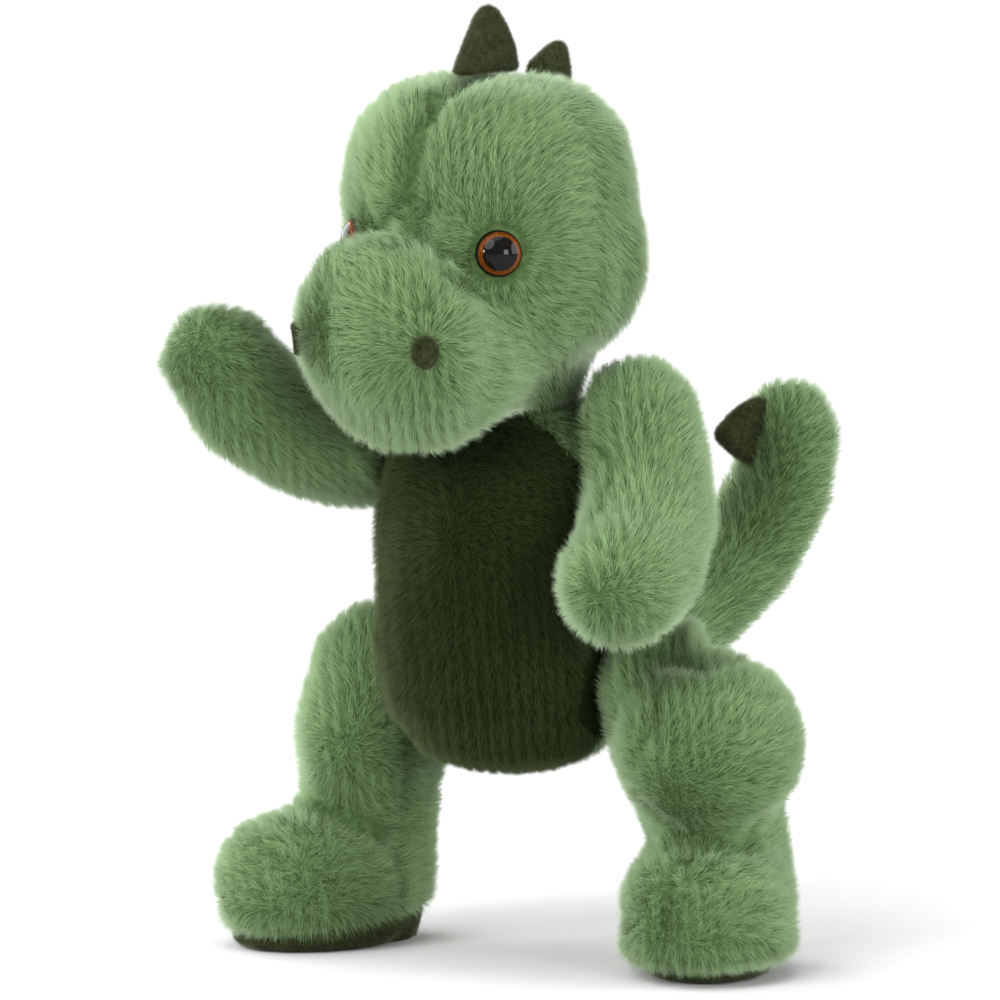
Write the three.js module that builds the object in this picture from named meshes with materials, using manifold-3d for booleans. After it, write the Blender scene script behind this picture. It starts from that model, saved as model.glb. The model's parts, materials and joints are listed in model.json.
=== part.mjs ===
// A jointed plush dinosaur, standing on both feet with its right arm raised.
// Millimetres, +Z up. It faces -Y, and its left side is +X.
import * as THREE from "three";
import { mergeVertices } from "three/addons/utils/BufferGeometryUtils.js";
import Module from "manifold-3d";

const wasm = await Module();
wasm.setup();

// ---------------------------------------------------------------- driving sizes

const GAP = 0.3; // clearance between pieces that touch
const PLUSH = 4; // plush fabric, with its backing and flattened pile
const SLIDE = 0.8; // play between two covers that turn on each other

// Moulded joint sets: radii of the disc, the washer, the lock ring and the stem
const LIMB_JOINT = { disc: 13, washer: 12, ring: 7, stem: 3.5 };
const NECK_JOINT = { disc: 20, washer: 18, ring: 8, stem: 4.5 };
const DISC_THICK = 2.5;
const WASHER_THICK = 2;
const RING_THICK = 3;
const STEM_PROUD = 2; // the stem's end stands this far out of its lock ring

// Torso
const TORSO_HALF = [57, 52, 76];
const TORSO_LIFT = 150;
const TORSO_SQUARE = 3; // how square the torso is, seen from the side
const BELLY_SEAM_LIFT = 120; // here the side seams cross the middle of the sides
const BELLY_SEAM_LEAN = 0.2; // the side seams lean forwards on the way up

// How far out, up or down the joints are, as shares of the torso's half sizes
const NECK_UP = 0.947;
const SHOULDER_OUT = 0.745;
const SHOULDER_UP = 0.592;
const HIP_OUT = 0.79;
const HIP_DOWN = 0.5;

// Head, in its own frame: the origin is the middle of the cranium
const NECK_LIFT = TORSO_LIFT + NECK_UP * TORSO_HALF[2];
const HEAD_AT = [-2, -12, NECK_LIFT + 70];
const HEAD_TURN = -9; // degrees about +Z, towards its right
const CRANIUM_HALF = [60, 58, 60];
const CRANIUM_SQUARE = 3.1;
const MUZZLE_HALF = [44, 54, 43];
const MUZZLE_AT = [0, -42, -44];
const NAPE_HALF = [38, 38, 32];
const NAPE_AT = [0, 6, -52];
const MUZZLE_PANEL = { wide: 56, back: -46, low: -36 };
const CHIN_PANEL = { wide: 56, back: -30, high: -56 };
const CHEST_ROOM = 0.84; // of the torso's half width: the head is flat as far out as this

const EYE_RADIUS = 9;
const EYE_DOME = 6;
const EYE_STEM = 2.2;
const EYE_STEM_LENGTH = 11;
const EYE_WASHER = 7;
const EYE_SEAT_DEPTH = 2.4;
const EYE_SIDE = 38;
const EYE_UP = -5;
const EYE_WAY = [0.66, -0.75, 0.08];
const NOSTRIL_HALF = [5, 6.4];
const NOSTRIL_THICK = 2;
const NOSTRIL_SIDE = 39;
const NOSTRIL_UP = -41;
const NOSTRIL_WAY = [0.62, -0.78, 0.02];

// Arms
const SHOULDER = [SHOULDER_OUT * TORSO_HALF[0], 1, TORSO_LIFT + SHOULDER_UP * TORSO_HALF[2]];
const SHOULDER_BACK = 6; // degrees that the shoulder discs face backwards
// Centre lines from the shoulder end to the paw end, measured outwards from the joint
const ARM_LINES = {
  left: [
    [12, -7, 46],
    [14, 0, 8],
    [25, -12, -15],
    [32, -36, -32],
    [36, -71, -37],
  ],
  right: [
    [12, 25, 11],
    [15.5, 1, 4],
    [24, -21, 9],
    [35.5, -51, 19],
    [46.5, -71, 41],
    [48.5, -73, 68],
  ],
};
const ARM_RADII = [24, 27, 26.5, 25, 26, 26];

// Legs
const HIP = [HIP_OUT * TORSO_HALF[0], 8, TORSO_LIFT - HIP_DOWN * TORSO_HALF[2]];
const SHANK_RADII = [27, 30, 29, 28, 28];
const LEG_TOP = 26; // above the hip joint
const KNEE_HALF = [33, 33, 37];
const FOOT_HALF = [35, 47, 30];
const FOOT_LIFT = 25;
const FOOT_REACH = 23; // from the ankle forwards to the middle of the foot
const SOLE_THICK = 5;
// Ankles and knees are measured outwards from the hip joint. The feet are turned out.
const LEGS = {
  left: { side: 1, ankle: [34, 19], knee: [42, -3, -26], turn: 19 },
  right: { side: -1, ankle: [29, 8], knee: [24, 4, -28], turn: 25 },
};

// Tail: centre line from inside the back to the tip, from the middle of the torso's back
const TAIL_LINE = [
  [0, -40, -38],
  [3, 10, -33],
  [12, 56, -26],
  [31, 88, 0],
  [44, 97, 36],
  [46, 90, 66],
];
const TAIL_RADII = [32, 30, 24, 20, 18.5, 17];

// Spikes: base length, height and thickness
const SPIKE_SIZES = {
  large: [34, 26, 9],
  medium: [28, 20, 8],
  small: [24, 16, 7],
};

// ---------------------------------------------------------------- materials

const plain = (color, roughness, metalness = 0) =>
  new THREE.MeshStandardMaterial({ color, roughness, metalness });
const GREEN = plain(0x6e9669, 0.95);
const DARK_GREEN = plain(0x2b4522, 0.95);
const OLIVE = plain(0x4b5636, 0.9);
const FILLING = plain(0xe9e8e2, 1);
const EYE = plain(0x5a3208, 0.1);
const NYLON = plain(0xd8d8d2, 0.5);

// ---------------------------------------------------------------- solids

const vec = (p) => new THREE.Vector3(...p);
const X = vec([1, 0, 0]);
const Y = vec([0, 1, 0]);
const Z = vec([0, 0, 1]);
const LEFT = X;
const RIGHT = vec([-1, 0, 0]);
const DOWN = vec([0, 0, -1]);

// A closed three.js geometry as a solid.
function solid(geometry) {
  const bare = geometry.index ? geometry.clone() : geometry;
  bare.deleteAttribute("normal");
  bare.deleteAttribute("uv");
  const merged = mergeVertices(bare, 1e-4);
  const faces = [];
  const index = merged.index.array;
  for (let i = 0; i < index.length; i += 3) {
    const [a, b, c] = index.slice(i, i + 3);
    if (a !== b && b !== c && c !== a) faces.push(a, b, c);
  }
  return new wasm.Manifold(
    new wasm.Mesh({
      numProp: 3,
      vertProperties: merged.attributes.position.array,
      triVerts: new Uint32Array(faces),
    }),
  );
}

const union = (...solids) => solids.reduce((all, next) => all.add(next));

// A stuffed shape with three half sizes, squarer the higher its power is.
function pillow(at, half, { power = 2, turn = 0, inset = 0, sides = 16, rings = 10 } = {}) {
  const ball = new THREE.SphereGeometry(1, sides, rings).rotateX(Math.PI / 2);
  const points = ball.attributes.position;
  const p = new THREE.Vector3();
  for (let i = 0; i < points.count; i++) {
    p.fromBufferAttribute(points, i);
    const round = Math.hypot(p.x, p.y);
    const size = (round ** power + Math.abs(p.z) ** power) ** (1 / power);
    p.divideScalar(size);
    points.setXYZ(i, ...p);
  }
  ball.scale(...half.map((h) => h - inset));
  ball.rotateZ(THREE.MathUtils.degToRad(turn));
  return solid(ball.translate(...at));
}

// A round-ended stuffed tube: a turned profile, bent along a line of centres.
function stocking(line, radii, { inset = 0, sides = 12, rings = 8, across = X } = {}) {
  const path = new THREE.CatmullRomCurve3(line.map(vec));
  const length = path.getLength();
  const widths = new THREE.SplineCurve(radii.map((r, i) => new THREE.Vector2(i, r)));
  const radiusAt = (s) => {
    const wide = widths.getPoint(THREE.MathUtils.clamp(s / length, 0, 1)).y;
    const nearest = Math.min(s, length - s);
    const end = Math.max(1 - nearest / wide, 0);
    return wide * Math.sqrt(1 - end * end);
  };
  const profile = [];
  for (let i = 0; i <= rings; i++) {
    const s = (length * (1 - Math.cos((Math.PI * i) / rings))) / 2;
    const step = 0.5;
    const before = Math.max(s - step, 0);
    const after = Math.min(s + step, length);
    const out = new THREE.Vector2(after - before, radiusAt(before) - radiusAt(after)).normalize();
    if (i === 0) out.set(0, -1);
    if (i === rings) out.set(0, 1);
    const atEnd = i === 0 || i === rings;
    profile.push(new THREE.Vector2(atEnd ? 0 : radiusAt(s) - inset * out.x, s - inset * out.y));
  }
  if (inset > 0) {
    profile[0].y = inset;
    profile[rings].y = length - inset;
  }
  const tube = new THREE.LatheGeometry(profile, sides);
  const points = tube.attributes.position;
  for (let i = 0; i < points.count; i++) {
    const u = THREE.MathUtils.clamp(points.getY(i) / length, 0, 1);
    const forward = path.getTangentAt(u);
    const side = across.clone().projectOnPlane(forward).normalize();
    const other = side.clone().cross(forward);
    const place = path.getPointAt(u);
    place.addScaledVector(side, points.getX(i)).addScaledVector(other, points.getZ(i));
    points.setXYZ(i, ...place);
  }
  return solid(tube);
}

// Everything on the outer side of a plane.
function beyond(at, facing, size = 500) {
  const block = new THREE.BoxGeometry(size, size, size).translate(0, 0, size / 2);
  const turn = new THREE.Quaternion().setFromUnitVectors(Z, facing.clone().normalize());
  return solid(block.applyQuaternion(turn).translate(...at));
}

// A box between two corners.
function block(low, high) {
  const size = high.map((h, i) => h - low[i]);
  const middle = high.map((h, i) => (h + low[i]) / 2);
  return solid(new THREE.BoxGeometry(...size).translate(...middle));
}

// A turned shape on an axis. Its profile is [radius, distance along the axis] points.
function turned(at, axis, profile, sides = 14) {
  const shape = new THREE.LatheGeometry(
    profile.map(([r, q]) => new THREE.Vector2(r, q)),
    sides,
  );
  const turn = new THREE.Quaternion().setFromUnitVectors(Y, axis);
  return solid(shape.applyQuaternion(turn).translate(...at));
}

function rod(at, axis, radius, from, to, sides = 14) {
  return turned(at, axis, [[0, from], [radius, from], [radius, to], [0, to]], sides);
}

function washer(at, axis, inner, outer, from, to) {
  const profile = [[inner, from], [outer, from], [outer, to], [inner, to], [inner, from]];
  return turned(at, axis, profile);
}

// ---------------------------------------------------------------- the model

const dinosaur = new THREE.Group();

function geometryOf(made) {
  const { vertProperties, triVerts } = made.getMesh();
  const shared = new THREE.BufferGeometry();
  shared.setAttribute("position", new THREE.BufferAttribute(vertProperties, 3));
  shared.setIndex(new THREE.BufferAttribute(triVerts, 1));
  const geometry = shared.toNonIndexed();
  geometry.computeVertexNormals();
  return geometry;
}

// Where a line from inside a solid comes out, and which way the surface faces there.
function surfaceOf(made) {
  return new THREE.Mesh(geometryOf(made), new THREE.MeshBasicMaterial({ side: THREE.BackSide }));
}

function spotOn(surface, from, way) {
  const axis = vec(way).normalize();
  const hit = new THREE.Raycaster(vec(from), axis).intersectObject(surface).pop();
  return { at: hit.point, axis, facing: hit.face.normal };
}

function add(name, made, material) {
  const mesh = new THREE.Mesh(geometryOf(made), material);
  mesh.name = name;
  dinosaur.add(mesh);
}

// ---------------------------------------------------------------- disc joints

// A joint's axis points from the torso into the head or limb. Distances along it
// are from the middle of the play between the two covers.
const FACE = SLIDE / 2;
const DISC_FROM = FACE + PLUSH + GAP;
const DISC_TO = DISC_FROM + DISC_THICK;
const WASHER_TO = -FACE - PLUSH - GAP;
const WASHER_FROM = WASHER_TO - WASHER_THICK;
const RING_TO = WASHER_FROM - GAP;
const RING_FROM = RING_TO - RING_THICK;
const STEM_FROM = RING_FROM - STEM_PROUD;

function shoulder(side) {
  const lean = THREE.MathUtils.degToRad(SHOULDER_BACK);
  return {
    at: vec([side * SHOULDER[0], SHOULDER[1], SHOULDER[2]]),
    axis: vec([side * Math.cos(lean), Math.sin(lean), 0]),
    set: LIMB_JOINT,
  };
}

function hip(side) {
  return { at: vec([side * HIP[0], HIP[1], HIP[2]]), axis: vec([side, 0, 0]), set: LIMB_JOINT };
}

const JOINTS = {
  neck: { at: vec([HEAD_AT[0], HEAD_AT[1] + NAPE_AT[1], NECK_LIFT]), axis: Z, set: NECK_JOINT },
  left_shoulder: shoulder(1),
  right_shoulder: shoulder(-1),
  left_hip: hip(1),
  right_hip: hip(-1),
};

const along = (joint, distance) => joint.at.clone().addScaledVector(joint.axis, distance);
const limbSide = (joint, distance) => beyond(along(joint, distance), joint.axis);
const torsoSide = (joint, distance) => beyond(along(joint, distance), joint.axis.clone().negate());
const stemHole = ({ at, axis, set }) => rod(at, axis, set.stem + GAP, STEM_FROM - GAP, DISC_TO);
const discPocket = ({ at, axis, set }) => rod(at, axis, set.disc + GAP, FACE, DISC_TO + GAP);
const washerPocket = ({ at, axis, set }) =>
  union(
    rod(at, axis, set.washer + GAP, RING_TO, -FACE),
    rod(at, axis, set.ring + GAP, STEM_FROM - GAP, RING_TO + GAP),
  );

function addJointSet(name, { at, axis, set }) {
  const disc = union(
    rod(at, axis, set.stem, STEM_FROM, DISC_FROM + DISC_THICK / 2),
    rod(at, axis, set.disc, DISC_FROM, DISC_TO),
  );
  add(name + "_disc", disc, NYLON);
  const bore = set.stem + GAP;
  add(name + "_washer", washer(at, axis, bore, set.washer, WASHER_FROM, WASHER_TO), NYLON);
  add(name + "_lock_ring", washer(at, axis, bore, set.ring, RING_FROM, RING_TO), NYLON);
}

Object.entries(JOINTS).forEach(([name, joint]) => addJointSet(name, joint));

// ---------------------------------------------------------------- tail

const tailLine = TAIL_LINE.map(([x, y, z]) => [x, y + TORSO_HALF[1], z + TORSO_LIFT]);
const tailAt = (inset) => stocking(tailLine, TAIL_RADII, { inset, sides: 12, rings: 10 });

// ---------------------------------------------------------------- torso

const torsoAt = (inset) => pillow([0, 0, TORSO_LIFT], TORSO_HALF, { power: TORSO_SQUARE, inset });

// The torso is flat under the head and under each limb: an arm's flat is above the
// middle of the torso, and a leg's is below it.
function torsoCut(shape, inset) {
  const middle = vec([0, 0, TORSO_LIFT]);
  return Object.values(JOINTS).reduce((cut, joint) => {
    const half = beyond(middle, joint.at.z > TORSO_LIFT ? Z : DOWN);
    return cut.subtract(limbSide(joint, -FACE - inset).intersect(half));
  }, shape);
}

const torsoOuter = torsoCut(torsoAt(0), 0);
const torsoInner = torsoCut(torsoAt(PLUSH), PLUSH);
const torsoCover = Object.values(JOINTS).reduce(
  (cover, joint) => cover.subtract(stemHole(joint)),
  torsoOuter.subtract(torsoInner),
);

// The side seams run up each side, and the belly panel is all that is in front of them.
const seamNormal = vec([0, -1, -BELLY_SEAM_LEAN]).normalize();
const seamAt = (shift) => vec([0, shift, BELLY_SEAM_LIFT]);
const bellyPanel = torsoCover.intersect(beyond(seamAt(-GAP / 2), seamNormal));
const backCover = torsoCover.intersect(beyond(seamAt(GAP / 2), seamNormal.clone().negate()));
const tailOpening = tailAt(-GAP);
const leftBack = backCover.intersect(beyond(vec([GAP / 2, 0, 0]), LEFT)).subtract(tailOpening);
const rightBack = backCover.intersect(beyond(vec([-GAP / 2, 0, 0]), RIGHT)).subtract(tailOpening);
const torsoFilling = Object.values(JOINTS).reduce(
  (filling, joint) => filling.subtract(washerPocket(joint)),
  torsoCut(torsoAt(PLUSH + GAP), PLUSH + GAP),
);

add("belly_panel", bellyPanel, DARK_GREEN);
add("left_back_cover", leftBack, GREEN);
add("right_back_cover", rightBack, GREEN);
add("torso_filling", torsoFilling, FILLING);

const tailCover = tailAt(0).subtract(tailAt(PLUSH)).subtract(torsoAt(PLUSH - GAP));
const tailFilling = tailAt(PLUSH + GAP).subtract(torsoAt(PLUSH));
add("tail_cover", tailCover, GREEN);
add("tail_filling", tailFilling, FILLING);

// ---------------------------------------------------------------- head

const headTurn = THREE.MathUtils.degToRad(HEAD_TURN);
const headFrame = new THREE.Matrix4()
  .makeRotationZ(headTurn)
  .setPosition(...HEAD_AT);

function placed(shape, matrix) {
  return shape.transform(matrix.toArray());
}

const cranium = (inset) => pillow([0, 0, 0], CRANIUM_HALF, { power: CRANIUM_SQUARE, inset });
const muzzle = (inset) => pillow(MUZZLE_AT, MUZZLE_HALF, { power: 2.1, inset, sides: 14, rings: 8 });
const nape = (inset) => pillow(NAPE_AT, NAPE_HALF, { inset, sides: 12, rings: 6 });
const headAt = (inset) => union(cranium(inset), muzzle(inset), nape(inset));
// The flat under the head ends in front of the chest, so the chin hangs lower than the neck.
const neckCut = (inset) => {
  const flat = NECK_LIFT - HEAD_AT[2] + FACE + inset;
  return rod([0, NAPE_AT[1], 0], Z, CHEST_ROOM * TORSO_HALF[0] + inset, -200, flat, 24);
};

const headSurface = surfaceOf(headAt(0));
const headSpot = (side, [x, y, z], [wx, wy, wz]) => ({
  side,
  ...spotOn(headSurface, [side * x, y, z], [side * wx, wy, wz]),
});

const eyes = [1, -1].map((side) => headSpot(side, [EYE_SIDE - 20, -20, EYE_UP - 3], EYE_WAY));
const nostrils = [1, -1]
  .map((side) => headSpot(side, [NOSTRIL_SIDE - 20, MUZZLE_AT[1] - 20, NOSTRIL_UP], NOSTRIL_WAY))
  .map((spot) => ({ ...spot, axis: spot.facing }));

// Distances along an eye's axis are from the surface of the plush.
const EYE_BACK = -EYE_SEAT_DEPTH + GAP;
const EYE_WASHER_FROM = -PLUSH - GAP - WASHER_THICK - 1;
const eyeSeat = ({ at, axis }) =>
  union(
    rod(at, axis, EYE_RADIUS + GAP, -EYE_SEAT_DEPTH, 20),
    rod(at, axis, EYE_STEM + GAP, -20, 0, 12),
  );
const eyePocket = ({ at, axis }) =>
  union(
    rod(at, axis, EYE_RADIUS + 2 * GAP, EYE_BACK - GAP, 20),
    rod(at, axis, EYE_WASHER + GAP, EYE_WASHER_FROM - GAP, 0),
    rod(at, axis, EYE_STEM + GAP, -EYE_STEM_LENGTH - EYE_SEAT_DEPTH - GAP, 0, 12),
  );
const nostrilShape = ({ at, axis }, half, from, to) => {
  const outline = new THREE.Shape().absellipse(0, 0, half[0], half[1], 0, 2 * Math.PI);
  const patch = new THREE.ExtrudeGeometry(outline, {
    depth: to - from,
    bevelEnabled: false,
    curveSegments: 8,
  }).translate(0, 0, from);
  const turn = new THREE.Quaternion().setFromUnitVectors(Z, axis);
  return solid(patch.applyQuaternion(turn).translate(...at));
};
const nostrilSeat = (spot) =>
  nostrilShape(spot, NOSTRIL_HALF.map((h) => h + GAP), -NOSTRIL_THICK, 20);

const cutEyes = (shape, cutter) => eyes.reduce((cut, eye) => cut.subtract(cutter(eye)), shape);
let headCover = headAt(0).subtract(neckCut(0));
headCover = headCover.subtract(headAt(PLUSH).subtract(neckCut(PLUSH)));
headCover = cutEyes(headCover, eyeSeat);
headCover = nostrils.reduce((cut, spot) => cut.subtract(nostrilSeat(spot)), headCover);
const inHeadFrame = (shape) => placed(shape, headFrame.clone().invert());
headCover = headCover.subtract(inHeadFrame(stemHole(JOINTS.neck)));

const panelBox = (wide, back, low, high, grow) =>
  block([-wide / 2 - grow, -300, low - grow], [wide / 2 + grow, back + grow, high + grow]);
const muzzleBox = (grow) => panelBox(MUZZLE_PANEL.wide, MUZZLE_PANEL.back, MUZZLE_PANEL.low, 100, grow);
const chinBox = (grow) => panelBox(CHIN_PANEL.wide, CHIN_PANEL.back, -200, CHIN_PANEL.high, grow);
const sides = headCover.subtract(muzzleBox(GAP / 2)).subtract(chinBox(GAP / 2));
const headPieces = {
  muzzle_panel: [headCover.intersect(muzzleBox(-GAP / 2)), GREEN],
  chin_panel: [headCover.intersect(chinBox(-GAP / 2)), GREEN],
  left_head_panel: [sides.intersect(beyond(vec([GAP / 2, 0, 0]), LEFT)), GREEN],
  right_head_panel: [sides.intersect(beyond(vec([-GAP / 2, 0, 0]), RIGHT)), GREEN],
  head_filling: [
    cutEyes(headAt(PLUSH + GAP).subtract(neckCut(PLUSH + GAP)), eyePocket).subtract(
      inHeadFrame(discPocket(JOINTS.neck)),
    ),
    FILLING,
  ],
};
eyes.forEach((eye) => {
  const name = eye.side > 0 ? "left_eye" : "right_eye";
  const dome = [0, 1, 2, 3, 4, 5].map((i) => {
    const angle = (Math.PI * i) / 10;
    return [EYE_RADIUS * Math.cos(angle), EYE_BACK + 1 + EYE_DOME * Math.sin(angle)];
  });
  const profile = [
    [0, EYE_BACK - EYE_STEM_LENGTH],
    [EYE_STEM, EYE_BACK - EYE_STEM_LENGTH],
    [EYE_STEM, EYE_BACK],
    [EYE_RADIUS, EYE_BACK],
    ...dome.slice(0, 5),
    [0, EYE_BACK + 1 + EYE_DOME],
  ];
  headPieces[name] = [turned(eye.at, eye.axis, profile), EYE];
  const back = [EYE_WASHER_FROM, EYE_WASHER_FROM + WASHER_THICK];
  headPieces[name + "_washer"] = [
    washer(eye.at, eye.axis, EYE_STEM + GAP, EYE_WASHER, ...back),
    NYLON,
  ];
});
nostrils.forEach((spot) => {
  const name = spot.side > 0 ? "left_nostril" : "right_nostril";
  headPieces[name] = [nostrilShape(spot, NOSTRIL_HALF, -NOSTRIL_THICK + GAP, 0.6), OLIVE];
});
Object.entries(headPieces).forEach(([name, [shape, material]]) =>
  add(name, placed(shape, headFrame), material),
);

// ---------------------------------------------------------------- arms

function armAt(name, inset) {
  const { at } = JOINTS[name + "_shoulder"];
  const out = Math.sign(at.x);
  const line = ARM_LINES[name].map(([x, y, z]) => [at.x + out * x, at.y + y, at.z + z]);
  return stocking(line, ARM_RADII, { inset });
}

function limb(name, joint, outer, inner, core) {
  const cover = outer
    .subtract(torsoSide(joint, FACE))
    .subtract(inner.subtract(torsoSide(joint, FACE + PLUSH)))
    .subtract(stemHole(joint));
  const filling = core.subtract(torsoSide(joint, FACE + PLUSH + GAP)).subtract(discPocket(joint));
  add(name + "_filling", filling, FILLING);
  return cover;
}

["left", "right"].forEach((name) => {
  const joint = JOINTS[name + "_shoulder"];
  const shapes = [0, PLUSH, PLUSH + GAP].map((inset) => armAt(name, inset));
  add(name + "_arm_cover", limb(name + "_arm", joint, ...shapes), GREEN);
});

// ---------------------------------------------------------------- legs

function legAt({ side, ankle, knee, turn }, inset) {
  const [hx, hy, hz] = HIP;
  const ax = hx + ankle[0];
  const ay = hy + ankle[1];
  const line = [
    [side * (hx + 16), hy + 4, hz + LEG_TOP],
    [side * (hx + 19), hy + 1, hz],
    [side * ax, ay, hz / 2],
    [side * ax, ay, -6],
  ];
  const shank = stocking(line, SHANK_RADII, { inset });
  const kneeAt = [side * (hx + knee[0]), hy + knee[1], hz + knee[2]];
  const kneeBall = pillow(kneeAt, KNEE_HALF, { inset, sides: 12, rings: 8 });
  const way = THREE.MathUtils.degToRad(turn);
  const middle = [
    side * (ax + FOOT_REACH * Math.sin(way)),
    ay - FOOT_REACH * Math.cos(way),
    FOOT_LIFT,
  ];
  const foot = pillow(middle, FOOT_HALF, { power: 2.6, turn: side * turn, inset, sides: 14, rings: 8 });
  return union(shank, kneeBall, foot);
}

const belowSole = beyond(vec([0, 0, SOLE_THICK + GAP]), DOWN);
const soleSlab = block([-300, -300, 0], [300, 300, SOLE_THICK]);
Object.entries(LEGS).forEach(([name, leg]) => {
  const [outer, ...within] = [0, PLUSH, PLUSH + GAP].map((inset) => legAt(leg, inset));
  const shapes = [outer, ...within].map((shape) => shape.subtract(belowSole));
  add(name + "_leg_cover", limb(name + "_leg", JOINTS[name + "_hip"], ...shapes), GREEN);
  add(name + "_sole", outer.intersect(soleSlab), OLIVE);
});

// ---------------------------------------------------------------- spikes

// A padded fin with a rounded tip. It stands on `at`, its base runs along `run`,
// and it points along `up`.
function fin(at, run, up, [long, high, thick]) {
  const round = high * 0.16;
  const outline = new THREE.Shape();
  outline.moveTo(-long / 2, -10);
  outline.lineTo(long / 2, -10);
  outline.lineTo(long / 2, 0);
  outline.quadraticCurveTo(long * 0.3, high * 0.6, round, high - round / 2);
  outline.quadraticCurveTo(0, high + round / 4, -round, high - round);
  outline.quadraticCurveTo(-long * 0.42, high * 0.5, -long / 2, 0);
  outline.closePath();
  const bevel = thick * 0.35;
  const shape = new THREE.ExtrudeGeometry(outline, {
    depth: thick - 2 * bevel,
    bevelThickness: bevel,
    bevelSize: bevel * 0.7,
    bevelOffset: -bevel * 0.7,
    bevelSegments: 1,
    curveSegments: 5,
  }).translate(0, 0, bevel - thick / 2);
  const along = vec(run).normalize();
  const upward = vec(up).projectOnPlane(along).normalize();
  const basis = new THREE.Matrix4().makeBasis(along, upward, along.clone().cross(upward));
  return solid(shape.applyMatrix4(basis).translate(...at));
}

// Each fin is [a point inside, the way it points, the way its base runs, its sizes].
const headFins = {
  front_head_spike: [[0, -8, 0], [0, 0.1, 1], [0, -1, 0.1], SPIKE_SIZES.large],
  rear_head_spike: [[0, 10, 10], [0, 0.6, 1], [0, -1, 0.6], SPIKE_SIZES.small],
  nape_spike: [[0, 0, 0], [0, 1, 0.1], [0, -0.1, 1], SPIKE_SIZES.small],
};
const backFins = {
  upper_back_spike: [[0, 0, TORSO_LIFT + 34], [0, 1, 0.1], [0, -0.1, 1], SPIKE_SIZES.small],
  lower_back_spike: [[0, 0, TORSO_LIFT - 2], [0, 1, 0.15], [0, -0.15, 1], SPIKE_SIZES.medium],
};
const tailFin = (k, lift, up, run, size) => {
  const [x, y, z] = tailLine[k];
  return [[x, y, z + lift], up, run, size];
};
const tailFins = {
  lower_tail_spike: tailFin(2, 0, [-0.2, -0.35, 1], [-0.1, -0.95, -0.35], SPIKE_SIZES.small),
  upper_tail_spike: tailFin(4, 10, [-0.4, -1, 0.1], [-0.15, 0, -1], SPIKE_SIZES.medium),
};

function addFins(fins, grown, frame) {
  const surface = surfaceOf(grown);
  Object.entries(fins).forEach(([name, [inside, up, run, size]]) => {
    const { at } = spotOn(surface, inside, up);
    add(name, placed(fin(at.toArray(), run, up, size).subtract(grown), frame), OLIVE);
  });
}

addFins(headFins, headAt(-GAP), headFrame);
addFins(backFins, union(torsoAt(-GAP), tailAt(-GAP)), new THREE.Matrix4());
addFins(tailFins, tailAt(-GAP), new THREE.Matrix4());

// The origin is on the floor, under the middle of the whole toy.
const box = new THREE.Box3().setFromObject(dinosaur);
const middle = box.getCenter(new THREE.Vector3());
dinosaur.position.set(-middle.x, -middle.y, -box.min.z);

export default dinosaur;
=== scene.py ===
"""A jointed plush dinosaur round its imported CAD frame.

It has stuffed skins with seams and folds, fur, velour spikes and soles, and glossy eyes.
"""

import json
import math

import bpy
import numpy as np
from mathutils import Matrix, Vector


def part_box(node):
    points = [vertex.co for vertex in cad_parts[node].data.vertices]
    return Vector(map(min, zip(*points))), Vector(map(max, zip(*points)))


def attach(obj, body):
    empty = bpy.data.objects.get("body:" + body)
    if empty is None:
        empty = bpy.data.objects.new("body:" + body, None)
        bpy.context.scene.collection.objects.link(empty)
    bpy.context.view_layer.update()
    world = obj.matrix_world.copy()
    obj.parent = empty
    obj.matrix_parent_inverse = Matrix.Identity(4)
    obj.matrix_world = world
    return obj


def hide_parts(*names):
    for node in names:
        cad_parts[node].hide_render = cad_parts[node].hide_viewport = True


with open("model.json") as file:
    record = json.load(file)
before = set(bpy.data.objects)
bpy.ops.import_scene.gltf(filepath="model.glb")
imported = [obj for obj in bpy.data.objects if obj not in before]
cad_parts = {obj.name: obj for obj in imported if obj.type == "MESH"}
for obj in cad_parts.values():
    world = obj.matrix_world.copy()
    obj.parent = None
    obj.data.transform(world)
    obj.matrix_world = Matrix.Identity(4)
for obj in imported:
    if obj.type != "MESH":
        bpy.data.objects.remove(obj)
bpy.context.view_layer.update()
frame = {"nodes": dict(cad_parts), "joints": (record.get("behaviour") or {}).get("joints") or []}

MM = 0.001
UP = Vector((0, 0, 1))
SCENE = bpy.context.scene
JOINTS = {joint["name"]: joint for joint in frame["joints"]}


# ---------------------------------------------------------------- places on the toy


def middle(node):
    low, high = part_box(node)
    return np.array((low + high) / 2)


def joint_at(name):
    return np.array(JOINTS[name]["pos_m"], float)


def joint_axis(name):
    return np.array(JOINTS[name]["axis"], float)


def mm(*numbers):
    return np.array(numbers, float) * MM


# ---------------------------------------------------------------- materials


def node_material(name, roughness, specular=0.25, sheen=0.0):
    material = bpy.data.materials.new(name)
    material.use_nodes = True
    tree = material.node_tree
    shader = tree.nodes["Principled BSDF"]
    shader.inputs["Roughness"].default_value = roughness
    shader.inputs["Specular IOR Level"].default_value = specular
    shader.inputs["Sheen Weight"].default_value = sheen
    return material, tree, shader


def add_node(tree, kind, inputs=None, **settings):
    node = tree.nodes.new(kind)
    for key, value in settings.items():
        setattr(node, key, value)
    for key, value in (inputs or {}).items():
        if isinstance(value, bpy.types.NodeSocket):
            tree.links.new(value, node.inputs[key])
        else:
            node.inputs[key].default_value = value
    return node


def linear(red, green, blue):
    """A colour given in sRGB from 0 to 255, as linear RGBA."""
    parts = [c / 255 for c in (red, green, blue)]
    return [c / 12.92 if c <= 0.04045 else ((c + 0.055) / 1.055) ** 2.4 for c in parts] + [1.0]


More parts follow.
